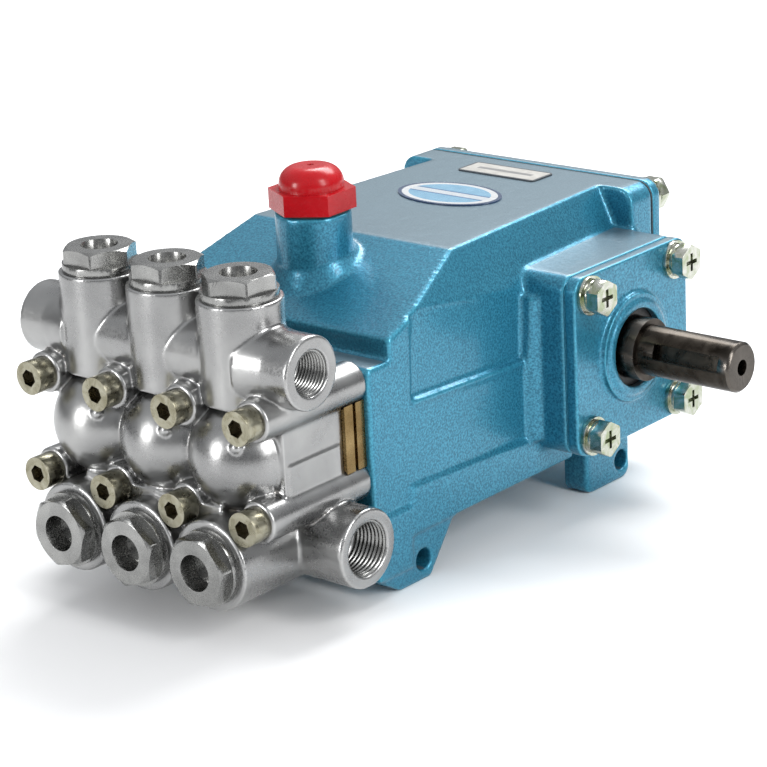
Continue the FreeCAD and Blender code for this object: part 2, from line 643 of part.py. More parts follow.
def crankpins():
    """Crankpin centres at rest, as (place, (y, z)) texts."""
    for place_x, angle in CRANK_ANGLES.items():
        turn = math.radians(angle)
        yield place_x, (f"crank_throw * {math.cos(turn):.6f}",
                        f"axis_height + crank_throw * {math.sin(turn):.6f}")


def make_bearings():
    outers, inners, balls = [], [], []
    middle = "bearing_inner_outer / 2 + bearing_outer_inner / 2"
    for side in MIRRORS:
        start, length = along(side, f"{BEARING_FACE} - bearing_width", BEARING_FACE)
        centre = f"{start} + bearing_width / 2"
        for outer, inner, store in (
                ("bearing_outer", "bearing_outer_inner", outers),
                ("bearing_inner_outer", "journal_radius + 0.02", inners)):
            track = torus(middle, "bearing_ball + 0.15", (centre, "0", "axis_height"), "x")
            store.append(cut(ring(outer, inner, length, (start, "0", "axis_height"), "x"), track))
        for index in range(11):
            turn = 2 * math.pi * index / 11
            balls.append(sphere("bearing_ball", (
                centre, f"({middle}) * {math.cos(turn):.6f}",
                f"axis_height + ({middle}) * {math.sin(turn):.6f}")))
    node(group(outers), "bearing_outer_rings")
    node(group(inners), "bearing_inner_rings")
    node(group(balls), "bearing_balls")


def rod_tilt(place_x):
    """Rest angle of a connecting rod about X that puts its eye on the plunger axis."""
    rise = value("crank_throw") * math.sin(math.radians(CRANK_ANGLES[place_x]))
    return math.degrees(math.asin(rise / value("rod_length")))


def pose_rod_piece(item, place_x, name):
    y, z = dict(crankpins())[place_x]
    tilt = Rotation(Vector(1, 0, 0), rod_tilt(place_x))
    node(place(item, (f"{place_x} * cylinder_pitch", y, z), tilt), name)


def make_connecting_rod(place_x):
    """Rod, cap, bolts and wrist pin drawn about the crankpin centre, rod along -Y."""
    number = place_x + 2
    width = "crankpin_width - 0.4"
    across = "small_end_width"
    big = cylinder("big_end_radius", width, ("-crankpin_width / 2 + 0.2", "0", "0"), "x")
    eye = cylinder("small_end_radius", across, (f"-{across} / 2", "-rod_length", "0"), "x")
    shank = box(("shank_width", "rod_length - small_end_radius + 2 - 15", "shank_depth"),
                ("-shank_width / 2", "-rod_length + small_end_radius - 2", "-shank_depth / 2"))
    ears = box(("shank_width + 4", "18", "2 * bolt_offset + 9"),
               ("-shank_width / 2 - 2", "-9", "-bolt_offset - 4.5"))
    bore = cylinder("crankpin_radius + running_clearance", "crankpin_width + 2",
                    ("-crankpin_width / 2 - 1", "0", "0"), "x")
    pin_hole = cylinder("wrist_pin_radius", f"{across} + 2",
                        (f"-{across} / 2 - 1", "-rod_length", "0"), "x")
    bolt_holes = [cylinder("bolt_radius + 0.1", "20",
                           ("0", "-10", f"{side} * bolt_offset"), "y") for side in MIRRORS]
    behind = box(("60", "60", "90"), ("-30", "0", "-45"))
    front = box(("60", "120", "90"), ("-30", "-120", "-45"))
    rod = cut(fuse(big, eye, shank, ears), bore, pin_hole, behind, *bolt_holes)
    pose_rod_piece(rod, place_x, f"connecting_rod_{number}")

    seats = [cylinder("5", "15", ("0", "9", f"{side} * bolt_offset"), "y") for side in MIRRORS]
    cap = cut(fuse(big, ears), bore, front, *bolt_holes, *seats)
    pose_rod_piece(cap, place_x, f"rod_cap_{number}")

    bolts = []
    for side in MIRRORS:
        z = f"{side} * bolt_offset"
        bolts.append(fuse(cylinder("bolt_radius", "18", ("0", "-9", z), "y"),
                          hexagon("7", "2.8", ("0", "9", z), "y")))
    pose_rod_piece(group(bolts), place_x, f"rod_bolts_{number}")
    pin = cylinder("wrist_pin_radius", across, (f"-{across} / 2", "-rod_length", "0"), "x")
    core = cylinder("wrist_pin_radius - 3", f"{across} + 2",
                    (f"-{across} / 2 - 1", "-rod_length", "0"), "x")
    pose_rod_piece(cut(pin, core), place_x, f"wrist_pin_{number}")


# ---------------------------------------------------------------------------------------------
# Crossheads, plungers and seals
# ---------------------------------------------------------------------------------------------
def pose_plunger_piece(item, place_x, name):
    turn = math.radians(CRANK_ANGLES[place_x])
    y = (f"crank_throw * {math.cos(turn):.6f}"
         f" - sqrt(rod_length ^ 2 - (crank_throw * {math.sin(turn):.6f}) ^ 2)")
    node(place(item, (f"{place_x} * cylinder_pitch", y, "axis_height")), name)


def make_plunger(place_x):
    """Crosshead with plunger rod, ceramic plunger and retainer, drawn about the wrist pin."""
    number = place_x + 2
    barrel = cylinder("crosshead_radius", "guide_end + fork_back", ("0", "-guide_end", "0"), "y")
    rod = cylinder("plunger_rod_radius", "rod_end - guide_end + 2", ("0", "-rod_end", "0"), "y")
    slot = box(("fork_slot", "fork_depth + fork_back + 1", "2 * crosshead_radius + 2"),
               ("-fork_slot / 2", "-fork_depth", "-crosshead_radius - 1"))
    pin_hole = cylinder("wrist_pin_radius + running_clearance", "2 * crosshead_radius + 2",
                        ("-crosshead_radius - 1", "0", "0"), "x")
    thread = cylinder("stud_radius + thread_gap", "15", ("0", "-rod_end - 1", "0"), "y")
    pose_plunger_piece(cut(fuse(barrel, rod), slot, pin_hole, thread), place_x,
                       f"plunger_rod_{number}")

    sleeve = ring("plunger_radius", "stud_radius + screw_clearance", "plunger_length",
                  ("0", "-rod_end - plunger_length", "0"), "y")
    pose_plunger_piece(fuse(sleeve), place_x, f"plunger_{number}")

    front = "-rod_end - plunger_length"
    washer = cylinder("retainer_radius", "1.5", ("0", f"{front} - 1.5", "0"), "y")
    head = hexagon("12", "retainer_head - 1.5", ("0", f"{front} - retainer_head", "0"), "y")
    shank = cylinder("stud_radius", "plunger_length + 13", ("0", f"{front} - 1", "0"), "y")
    pose_plunger_piece(fuse(washer, head, shank), place_x, f"plunger_retainer_{number}")


def make_seals():
    oil, low, high = [], [], []
    for place_x in CYLINDERS:
        x = f"{place_x} * cylinder_pitch"
        oil.append(ring("oil_seal_radius", "plunger_rod_radius + running_clearance",
                        "oil_seal_length", (x, "-oil_seal_back - oil_seal_length", "axis_height"), "y"))
        low.append(ring("low_seal_radius", "plunger_radius + running_clearance",
                        "seal_case_front - low_seal_back", (x, "-seal_case_front", "axis_height"), "y"))
        high.append(ring("high_seal_radius", "plunger_radius + running_clearance",
                         "high_seal_length",
                         (x, "-seal_case_front - high_seal_length", "axis_height"), "y"))
    node(group(oil), "plunger_oil_seals")
    node(group(low), "low_pressure_seals")
    node(group(high), "high_pressure_seals")


def make_seal_case():
    plate = box(("2 * seal_case_half", "seal_case_front - case_front", "2 * seal_case_half_z"),
                ("-seal_case_half", "-seal_case_front", "axis_height - seal_case_half_z"))
    tools = []
    for side in MIRRORS:
        start, length = along(side, "seal_case_half - 1.6", "seal_case_half + 1")
        tools.append(box((length, "1.6", "2 * seal_case_half_z + 2"),
                         (start, "-seal_case_front / 2 - case_front / 2 - 0.8",
                          "axis_height - seal_case_half_z - 1")))
    for place_x in CYLINDERS:
        x = f"{place_x} * cylinder_pitch"
        tools.append(cylinder("plunger_radius + 1.5", "seal_case_front - case_front + 2",
                              (x, "-seal_case_front - 1", "axis_height"), "y"))
        tools.append(cylinder("low_seal_radius + 0.02", "seal_case_front - low_seal_back + 1",
                              (x, "-seal_case_front - 1", "axis_height"), "y"))
    for x, z in column_spots():
        tools.append(cylinder("column_radius + 0.4", "seal_case_front - case_front + 2",
                              (x, "-seal_case_front - 1", z), "y"))
    node(cut(plate, *tools), "seal_case")


# ---------------------------------------------------------------------------------------------
# Manifold, its screws and plugs
# ---------------------------------------------------------------------------------------------
def column_spots():
    return [(f"{column} * cylinder_pitch", f"axis_height + {side} * screw_rise")
            for column in COLUMNS for side in MIRRORS]


def manifold_body():
    """Outer form: towers, domes, inlet bosses, columns and port bosses."""
    parts = [
        box(("2 * flank_half", "front_plane - seal_case_front", "2 * screw_rise + 8"),
            ("-flank_half", "-front_plane", "axis_height - screw_rise - 4")),
        box(("2 * cylinder_pitch", "inlet_boss_front - seal_case_front - lower_step",
             "lower_top - inlet_height + 5"),
            ("-cylinder_pitch", "-inlet_boss_front + lower_step", "inlet_height - 5")),
        tower_web(),
        cylinder("discharge_boss_radius", "2 * discharge_face",
                 ("-discharge_face", "-discharge_y", "discharge_height"), "x"),
        cylinder("inlet_port_radius", "2 * inlet_face",
                 ("-inlet_face", "-inlet_y", "inlet_height"), "x"),
    ]
    for side in MIRRORS:
        start, length = along(side, "cylinder_pitch + 8", "cylinder_pitch + 20")
        low, high = ("discharge_boss_radius + 2", "discharge_boss_radius")[::side]
        parts.append(cone(low, high, length, (start, "-discharge_y", "discharge_height"), "x"))
        face = "flank_half - 1" if side > 0 else "-flank_half - pad_raise"
        parts.append(box(("1 + pad_raise", "pad_length", "pad_width"),
                         (face, "-seal_case_front - pad_length - 2", "axis_height - pad_width - 1")))
    for place_x in CYLINDERS:
        x = f"{place_x} * cylinder_pitch"
        parts += [
            cylinder("discharge_tower_radius", "tower_top - axis_height - tower_rise",
                     (x, "-discharge_y", "axis_height + tower_rise")),
            cylinder("dome_radius", "dome_y - seal_case_front", (x, "-dome_y", "axis_height"), "y"),
            sphere("dome_radius", (x, "-dome_y", "axis_height")),
            cylinder("inlet_boss_radius", "inlet_boss_front - seal_case_front",
                     (x, "-inlet_boss_front", "inlet_height"), "y"),
        ]
    for x, z in column_spots():
        parts.append(cylinder("column_radius", "screw_seat - case_front", (x, "-screw_seat", z), "y"))
    return fuse(*parts)


def tower_web():
    """Metal joining the towers: upright below, then leaning back toward the crankcase."""
    profile = [
        ("-seal_case_front - 4", "axis_height + 6"), ("-front_plane", "axis_height + 6"),
        ("-front_plane", "axis_height + tower_rise"),
        ("-web_front", "axis_height + tower_rise + 2"), ("-web_front", "discharge_height - 5"),
        ("-discharge_y + 1", "web_top"), ("-seal_case_front - 4", "web_top"),
    ]
    return profile_body("tower_web", profile, "cylinder_pitch")


def manifold_passages():
    tools = [
        cylinder("discharge_gallery", "2 * discharge_face - 10",
                 ("-discharge_face + 5", "-discharge_y", "discharge_height"), "x"),
        cylinder("inlet_gallery", "2 * inlet_face - 10",
                 ("-inlet_face + 5", "-inlet_y", "inlet_height"), "x"),
    ]
    for side in MIRRORS:
        tools.append(side_cylinder(side, "discharge_thread_radius",
                                   "discharge_face - discharge_thread_depth", "discharge_face + 1",
                                   "-discharge_y", "discharge_height"))
        tools.append(side_cylinder(side, "inlet_thread_radius", "inlet_face - inlet_thread_depth",
                                   "inlet_face + 1", "-inlet_y", "inlet_height"))
    for place_x in CYLINDERS:
        x = f"{place_x} * cylinder_pitch"
        tools += [
            cylinder("chamber_radius", "chamber_front - seal_case_front + 1",
                     (x, "-chamber_front", "axis_height"), "y"),
            cylinder("high_seal_radius + 0.02", "high_seal_length + 1",
                     (x, "-seal_case_front - high_seal_length", "axis_height"), "y"),
            cylinder("valve_passage", "discharge_seat_height - axis_height + 1",
                     (x, "-discharge_y", "axis_height")),
            cylinder("valve_bore + 0.02", "tower_top - discharge_seat_height + 1",
                     (x, "-discharge_y", "discharge_seat_height")),
            cylinder("valve_bore + 0.02", "inlet_boss_front - inlet_seat_back + 1",
                     (x, "-inlet_boss_front - 1", "inlet_height"), "y"),
            cylinder("valve_passage", "inlet_seat_back - inlet_y + 1",
                     (x, "-inlet_seat_back - 1", "inlet_height"), "y"),
            cylinder("inlet_passage", "axis_height - inlet_height", (x, "-inlet_riser_y", "inlet_height")),
        ]
    for x, z in column_spots():
        tools.append(cylinder("screw_radius + screw_clearance", "screw_seat - case_front + 10",
                              (x, "-screw_seat - 5", z), "y"))
        tools.append(cylinder("screw_head_radius + 0.6", "20", (x, "-screw_seat - 20", z), "y"))
    return tools


def make_manifold():
    node(cut(manifold_body(), *manifold_passages()), "manifold")
    screws = []
    for x, z in column_spots():
        head = cylinder("screw_head_radius", "screw_head_height",
                        (x, "-screw_seat - screw_head_height", z), "y")
        shank = cylinder("screw_radius", "screw_seat - case_front + screw_depth",
                         (x, "-screw_seat - 1", z), "y")
        socket = hexagon("6", "5", (x, "-screw_seat - screw_head_height - 1", z), "y", 12)
        screws.append(cut(fuse(head, shank), socket))
    node(group(screws), "manifold_screws")


def plug(x, y, z, axis, hex_height, turn):
    """Hexagon plug drawn from its flange seat; outward is up for discharge, -Y for inlet."""
    def at(near, far):
        if axis == "z":
            return (x, y, f"{z} + ({near})")
        return (x, f"{y} - ({far})", z)

    top = f"plug_flange + {hex_height}"
    flange = cylinder("plug_flange_radius", "plug_flange", at("0", "plug_flange"), axis)
    wide = f"plug_flats / 2 + 1.73 * {hex_height}"
    low, high = (wide, "plug_flats / 2") if axis == "z" else ("plug_flats / 2", wide)
    blank = common(hexagon("plug_flats", hex_height, at("plug_flange", top), axis, turn),
                   cylinder("plug_corner", hex_height, at("plug_flange", top), axis))
    head = common(blank, cone(low, high, hex_height, at("plug_flange", top), axis))
    thread = cylinder("plug_thread_radius", "plug_thread_length", at("-(plug_thread_length)", "0"), axis)
    neck = cylinder("plug_thread_radius - 2 * plug_seal_wire + 0.2", "plug_seal_length",
                    at("-(plug_thread_length) - plug_seal_length", "-(plug_thread_length)"), axis)
    recess = cylinder("plug_recess_radius", "plug_recess_depth + 1",
                      at(f"{top} - plug_recess_depth", f"{top} + 1"), axis)
    seal = torus("plug_thread_radius - plug_seal_wire + 0.1", "plug_seal_wire - 0.15",
                 at("-(plug_thread_length) - plug_seal_length / 2",
                    "-(plug_thread_length) - plug_seal_length / 2"), axis)
    return cut(fuse(flange, head, thread, neck), recess), seal


def make_plugs():
    discharge, inlet, seals = [], [], []
    for place_x, upper_turn, lower_turn in zip(CYLINDERS, (0, 2, 24), (45, 40, 50)):
        x = f"{place_x} * cylinder_pitch"
        upper, upper_seal = plug(x, "-discharge_y", "tower_top", "z", "discharge_hex_height",
                                 upper_turn)
        lower, lower_seal = plug(x, "-inlet_boss_front", "inlet_height", "y", "inlet_hex_height",
                                 lower_turn)
        discharge.append(upper)
        inlet.append(lower)
        seals += [upper_seal, lower_seal]
    node(group(discharge), "discharge_valve_plugs")
    node(group(inlet), "inlet_valve_plugs")
    node(group(seals), "valve_plug_seals")


# ---------------------------------------------------------------------------------------------
# Valves
# ---------------------------------------------------------------------------------------------
def valve(seat_y, seat_z, x, axis):
    """Poppet drawn from its seat face, opening up for discharge and toward -Y for inlet."""
    def at(near, far):
        if axis == "z":
            return (x, seat_y, f"{seat_z} + ({near})")
        return (x, f"{seat_y} - ({far})", seat_z)

    disc = cylinder("valve_disc_radius", "valve_disc_thickness", at("0", "valve_disc_thickness"), axis)
    stub = cylinder("spring_radius - 1.5", "valve_disc_thickness + 2",
                    at("0", "valve_disc_thickness + 2"), axis)
    stem = cylinder("valve_stem_radius", "valve_stem_length + 1", at("-(valve_stem_length)", "1"), axis)
    return fuse(disc, stub, stem)


def spring(x, y, z, axis, length, turns):
    """Coil between two seats, wire radius clear of both."""
    helix = doc.addObject("Part::Helix", "Helix")
    bind(helix, "Radius", "spring_radius")
    bind(helix, "Height", length)
    bind(helix, "Pitch", f"({length}) / {turns}")
    place(helix, (x, y, z), AXES[axis])
    circle = doc.addObject("Part::Circle", "Wire")
    bind(circle, "Radius", "spring_wire")
    turn = AXES[axis].multiply(Rotation(Vector(1, 0, 0), 90))
    offset = AXES[axis].multVec(Vector(1, 0, 0))
    place(circle, (f"{x} + {offset.x:.0f} * spring_radius", f"{y} + {offset.y:.0f} * spring_radius",
                   f"{z} + {offset.z:.0f} * spring_radius"), turn)
    sweep = doc.addObject("Part::Sweep", "Coil")
    sweep.Sections = [circle]
    sweep.Spine = (helix, [])
    sweep.Solid = True
    sweep.Frenet = True
    return sweep


def make_valves():
    seats, upper_springs, lower_springs = [], [], []
    discharge_face = "discharge_seat_height + valve_seat_thickness"
    inlet_face = "-inlet_seat_back - valve_seat_thickness"
    plug_end = "plug_thread_length + plug_seal_length"
    for place_x in CYLINDERS:
        number = place_x + 2
        x = f"{place_x} * cylinder_pitch"
        seats.append(ring("valve_bore", "valve_seat_bore", "valve_seat_thickness",
                          (x, "-discharge_y", "discharge_seat_height")))
        seats.append(ring("valve_bore", "valve_seat_bore", "valve_seat_thickness",
                          (x, inlet_face, "inlet_height"), "y"))
        node(valve("-discharge_y", discharge_face, x, "z"), f"discharge_valve_{number}")
        node(valve(inlet_face, "inlet_height", x, "y"), f"inlet_valve_{number}")
        gap = "valve_disc_thickness + spring_wire + 0.1"
        height = (f"tower_top - ({plug_end}) - ({discharge_face}) - 2 * spring_wire - 0.2"
                  f" - valve_disc_thickness")
        upper_springs.append(spring(x, "-discharge_y", f"{discharge_face} + {gap}", "z", height, 6))
        reach = (f"inlet_boss_front - ({plug_end}) - inlet_seat_back - valve_seat_thickness"
                 f" - valve_disc_thickness - 2 * spring_wire - 0.2")
        lower_springs.append(spring(x, f"-inlet_boss_front + {plug_end} + spring_wire + 0.1",
                                    "inlet_height", "y", reach, 5))
    node(group(seats), "valve_seats")
    node(group(upper_springs), "discharge_valve_springs")
    node(group(lower_springs), "inlet_valve_springs")


# ---------------------------------------------------------------------------------------------
# Filler cap and trim
# ---------------------------------------------------------------------------------------------
def make_cap():
    seat = "neck_top + cap_seal"
    hexagonal = hexagon("cap_flats", "cap_hex_height", ("0", "-neck_y", seat), "z", 32)
    crown = rounded_top(cylinder("cap_dome_radius", "cap_height", ("0", "-neck_y", seat)), "cap_shoulder")
    spigot = cylinder("cap_spigot", "cap_spigot_length + 2", ("0", "-neck_y", f"{seat} - cap_spigot_length"))
    vent = cylinder("1.3", "6", ("0", "-neck_y", f"{seat} + cap_height - 3"))
    node(cut(fuse(hexagonal, crown, spigot), vent), "oil_cap")
    node(ring("neck_radius - 0.6", "neck_bore + 0.4", "cap_seal", ("0", "-neck_y", "neck_top")),
         "oil_cap_seal")


def make_trim():
    outline = doc.addObject("Part::Ellipse", "Badge_outline")
    bind(outline, "MajorRadius", "badge_long")
    bind(outline, "MinorRadius", "badge_short")
    place(outline, ("0", "-badge_y", "case_top"))
    badge = doc.addObject("Part::Extrusion", "Badge")
    badge.Base = outline
    badge.DirMode = "Custom"
    badge.Dir = Vector(0, 0, 1)
    badge.Solid = True
    bind(badge, "LengthFwd", "trim_thickness")
    node(badge, "badge")
    label = rounded_box(("label_long", "label_short", "trim_thickness"),
                        ("-label_long / 2 - 2", "label_y - label_short / 2", "case_top"), "2", "z")
    node(label, "label_plate")


# ---------------------------------------------------------------------------------------------
# Build, verify and write
# ---------------------------------------------------------------------------------------------
make_crankcase()
make_rear_cover()
for hand in MIRRORS:
    make_bearing_cover(hand)
make_bearing_cover_fittings()
make_crankshaft()
make_bearings()
for cylinder_place in CYLINDERS:
    make_connecting_rod(cylinder_place)
    make_plunger(cylinder_place)
make_seals()
make_seal_case()
make_manifold()
make_plugs()
make_valves()
make_cap()
make_trim()
doc.recompute()

for item in doc.Objects:
    if "Invalid" in item.State or "Error" in item.State:
        raise RuntimeError(f"{item.Label} did not recompute: {item.State}")
for item in nodes:
    if item.Shape.isNull() or not item.Shape.isValid() or not item.Shape.Solids:
        raise RuntimeError(f"{item.Label} has no valid solid")
for item in nodes:
    item.Shape.exportStep(f"parts/{item.Label}.step")
    extent = item.Shape.BoundBox
    print(f"{item.Label}: {len(item.Shape.Solids)} solids, {item.Shape.Volume / 1000:.2f} cm3, "
          f"x {extent.XMin:.1f}..{extent.XMax:.1f} y {extent.YMin:.1f}..{extent.YMax:.1f} "
          f"z {extent.ZMin:.1f}..{extent.ZMax:.1f}")
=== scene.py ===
import json
import math

import bmesh
import bpy
from mathutils import Matrix, Vector


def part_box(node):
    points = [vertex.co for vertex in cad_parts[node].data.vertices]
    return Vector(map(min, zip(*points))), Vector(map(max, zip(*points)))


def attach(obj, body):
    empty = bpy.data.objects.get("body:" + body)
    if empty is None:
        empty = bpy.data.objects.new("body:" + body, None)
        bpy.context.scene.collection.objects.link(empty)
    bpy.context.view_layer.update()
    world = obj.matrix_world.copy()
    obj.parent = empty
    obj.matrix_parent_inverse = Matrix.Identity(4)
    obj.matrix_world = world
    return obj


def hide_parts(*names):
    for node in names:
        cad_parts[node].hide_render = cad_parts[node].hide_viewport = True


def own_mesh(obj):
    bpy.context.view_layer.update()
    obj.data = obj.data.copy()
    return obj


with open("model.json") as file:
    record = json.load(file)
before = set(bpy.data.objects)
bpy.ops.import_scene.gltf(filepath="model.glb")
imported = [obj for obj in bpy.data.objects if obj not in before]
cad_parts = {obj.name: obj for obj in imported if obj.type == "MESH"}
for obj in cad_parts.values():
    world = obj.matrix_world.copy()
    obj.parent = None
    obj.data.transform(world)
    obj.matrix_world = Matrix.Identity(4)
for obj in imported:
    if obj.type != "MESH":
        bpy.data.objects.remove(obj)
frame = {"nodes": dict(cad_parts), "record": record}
NODES = frame["nodes"]
SLOT_OF = {part["node"]: part["material_slot"] for part in frame["record"]["subparts"]}
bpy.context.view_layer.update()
MM = 0.001


def node_box(name):
    low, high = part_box(name)
    return low, high, (low + high) / 2


# ---------------------------------------------------------------------------------------------
# Materials
# ---------------------------------------------------------------------------------------------
OIL_LEVEL = (61.5 * MM, 62.5 * MM)      # heights between which oil gives way to air


class Look:
    """One procedural material, built up from linked nodes."""

    def __init__(self, name, **values):
        self.material = bpy.data.materials.new(name)
        self.material.use_nodes = True
        self.tree = self.material.node_tree
        self.shader = self.tree.nodes["Principled BSDF"]
        for socket, number in values.items():
            self.shader.inputs[socket.replace("_", " ")].default_value = number
        self.place = self.tree.nodes.new("ShaderNodeTexCoord").outputs["Object"]
        self.relief = None

    def new(self, kind, **settings):
        item = self.tree.nodes.new(kind)
        for key, setting in settings.items():
            setattr(item, key, setting)
        return item

    def link(self, source, target):
        self.tree.links.new(source, target)

    # Inputs: where the surface is, how it faces, how exposed it is.
    def mapped(self, scale, shift=(0.0, 0.0, 0.0)):
        """Object coordinates, scaled and then shifted."""
        item = self.new("ShaderNodeMapping")
        item.inputs["Scale"].default_value = scale
        item.inputs["Location"].default_value = shift
        self.link(self.place, item.inputs["Vector"])
        return item.outputs["Vector"]

    def over(self, node):
        """Object coordinates across a node's top face, -1 to 1 from edge to edge."""
        low, high, centre = node_box(node)
        half = (high - low) / 2
        return self.mapped((1 / half.x, 1 / half.y, 0.0),
                           (-centre.x / half.x, -centre.y / half.y, 0.0))

    def split(self, vector):
        item = self.new("ShaderNodeSeparateXYZ")
        self.link(vector, item.inputs["Vector"])
        return item.outputs

    def faces_up(self):
        """How far the surface faces up."""
        return self.split(self.new("ShaderNodeTexCoord").outputs["Normal"])["Z"]

    def edges(self):
        """How exposed the surface is: low in crevices, high on ridges."""
        return self.new("ShaderNodeNewGeometry").outputs["Pointiness"]

    def noise(self, scale, detail=3.0, stretch=None, lumps=0.0):
        item = self.new("ShaderNodeTexNoise")
        item.inputs["Scale"].default_value = scale
        item.inputs["Detail"].default_value = detail
        item.inputs["Roughness"].default_value = 0.55
        item.inputs["Distortion"].default_value = lumps
        self.link(self.mapped(stretch) if stretch else self.place, item.inputs["Vector"])
        return item.outputs["Fac"]

    # Arithmetic on one number per point, and blends of two colours.
    def span(self, source, low, high, to_low=0.0, to_high=1.0):
        item = self.new("ShaderNodeMapRange", clamp=True)
        for socket, number in zip(("From Min", "From Max", "To Min", "To Max"),
                                  (low, high, to_low, to_high)):
            item.inputs[socket].default_value = number
        self.link(source, item.inputs["Value"])
        return item.outputs["Result"]

    def math(self, operation, first, second=0.0):
        item = self.new("ShaderNodeMath", operation=operation)
        for socket, source in zip(item.inputs, (first, second)):
            if isinstance(source, float):
                socket.default_value = source
            else:
                self.link(source, socket)
        return item.outputs["Value"]

    def mix(self, factor, first, second):
        item = self.new("ShaderNodeMix", data_type="RGBA")
        self.link(factor, item.inputs["Factor"])
        for socket, source in zip((item.inputs[6], item.inputs[7]), (first, second)):
            if isinstance(source, tuple):
                socket.default_value = (*source, 1.0)
            else:
                self.link(source, socket)
        return item.outputs[2]

    def cloudy(self, scale, first, second, detail=3.0):
        """Two colours that give way to each other in soft clouds."""
        return self.mix(self.span(self.noise(scale, detail), 0.3, 0.7), first, second)

    # Outputs: colour, gloss and relief.
    def paint(self, source):
        self.link(source, self.shader.inputs["Base Color"])

    def gloss(self, source):
        self.link(source, self.shader.inputs["Roughness"])

    def satin(self, scale, low, high):
        """Roughness that drifts between two values."""
        self.gloss(self.span(self.noise(scale), 0.3, 0.7, low, high))

    def bump(self, source, depth, strength):
        """Adds one relief layer of the given depth in metres."""
        item = self.new("ShaderNodeBump")
        item.inputs["Distance"].default_value = depth
        item.inputs["Strength"].default_value = strength
        self.link(source, item.inputs["Height"])
        if self.relief is not None:
            self.link(self.relief, item.inputs["Normal"])
        self.relief = item.outputs["Normal"]
        self.link(self.relief, self.shader.inputs["Normal"])


def blue_paint():
    """Metallic enamel: fine flakes, painted sheen that greys the flat tops, painted highlight
    on the ridges.
    """
    look = Look("blue_paint", Metallic=0.5, Coat_Weight=0.3, Coat_Roughness=0.14, Coat_IOR=1.5)
    flakes = look.noise(1200.0, 2.0)
    cloud = look.noise(45.0)
    base = look.mix(look.span(flakes, 0.35, 0.68), (0.008, 0.115, 0.190), (0.042, 0.27, 0.40))
    base = look.mix(look.span(cloud, 0.3, 0.75, 0.0, 0.30), base, (0.014, 0.165, 0.27))
    # Painted sheen: surfaces that face up are greyed, standing in for reflected light.
    painted_top_sheen = look.span(look.faces_up(), 0.94, 0.99, 0.0, 0.80)
    base = look.mix(painted_top_sheen, base, (0.155, 0.195, 0.22))
    # Painted highlight: brighter cyan along the ridges.
    painted_ridge_highlight = look.span(look.edges(), 0.515, 0.58, 0.0, 0.6)
    look.paint(look.mix(painted_ridge_highlight, base, (0.07, 0.44, 0.60)))
    look.gloss(look.span(flakes, 0.3, 0.7, 0.44, 0.30))
    look.bump(look.noise(480.0, 2.5), 0.00026, 0.5)
    look.bump(look.noise(110.0, 2.0), 0.0005, 0.25)
    return look.material


def nickel_casting():
    """Plated casting: painted highlight on the ridges and brown tarnish in the crevices."""
    look = Look("nickel_casting", Metallic=1.0, Specular_IOR_Level=0.5)
    grain = look.noise(900.0)
    cloud = look.noise(40.0, lumps=0.3)
    base = look.mix(look.span(cloud, 0.3, 0.7), (0.25, 0.25, 0.25), (0.36, 0.36, 0.355))
    crevice = look.span(look.edges(), 0.44, 0.48, 0.55, 0.0)
    tarnish = look.math("MULTIPLY", crevice, look.span(look.noise(50.0), 0.40, 0.65))
    # Painted highlight: pale grey along the ridges.
    ridge_highlight = look.span(look.edges(), 0.515, 0.56, 0.0, 0.6)
    base = look.mix(ridge_highlight, base, (0.62, 0.62, 0.61))
    look.paint(look.mix(tarnish, base, (0.15, 0.11, 0.07)))
    look.gloss(look.math("ADD", look.span(cloud, 0.3, 0.7, 0.24, 0.31),
                         look.span(grain, 0.4, 0.75, 0.0, 0.06)))
    look.bump(look.noise(800.0, 2.0), 0.00007, 0.4)
    look.bump(look.noise(60.0, 1.0), 0.0006, 0.12)
    return look.material


def machined(name, low, high, rough):
    """Turned or ground metal with fine tool marks."""
    look = Look(name, Metallic=1.0)
    marks = look.noise(1800.0, 2.0)
    # Painted shade: a darker copy of the base colour in the crevices.
    crevice_shade = look.span(look.edges(), 0.43, 0.49, 0.5, 0.0)
    shade = tuple(0.45 * part for part in low)
    look.paint(look.mix(crevice_shade, look.cloudy(90.0, low, high), shade))
    look.gloss(look.span(marks, 0.3, 0.7, rough - 0.06, rough + 0.08))
    look.bump(marks, 0.00004, 0.35)
    return look.material


def zinc_olive():
    look = Look("zinc_olive", Metallic=1.0)
    tint = look.noise(220.0, lumps=0.8)
    base = look.mix(look.span(tint, 0.3, 0.7), (0.20, 0.185, 0.125), (0.36, 0.345, 0.27))
    # Painted shade: dark brown in the crevices and screw sockets.
    crevice_shade = look.span(look.edges(), 0.42, 0.49, 0.75, 0.0)
    look.paint(look.mix(crevice_shade, base, (0.06, 0.03, 0.015)))
    look.gloss(look.span(tint, 0.3, 0.7, 0.22, 0.36))
    look.bump(look.noise(1500.0, 2.0), 0.00004, 0.4)
    return look.material


def zinc_bright():
    look = Look("zinc_bright", Metallic=1.0)
    tint = look.noise(200.0, lumps=1.2)
    base = look.mix(look.span(tint, 0.35, 0.65), (0.30, 0.34, 0.22), (0.54, 0.54, 0.50))
    # Painted shade: dark in the crevices and sockets.
    crevice_shade = look.span(look.edges(), 0.42, 0.49, 0.6, 0.0)
    look.paint(look.mix(crevice_shade, base, (0.07, 0.06, 0.04)))
    look.gloss(look.span(tint, 0.3, 0.7, 0.14, 0.26))
    look.bump(look.noise(1500.0, 2.0), 0.00003, 0.4)
    return look.material


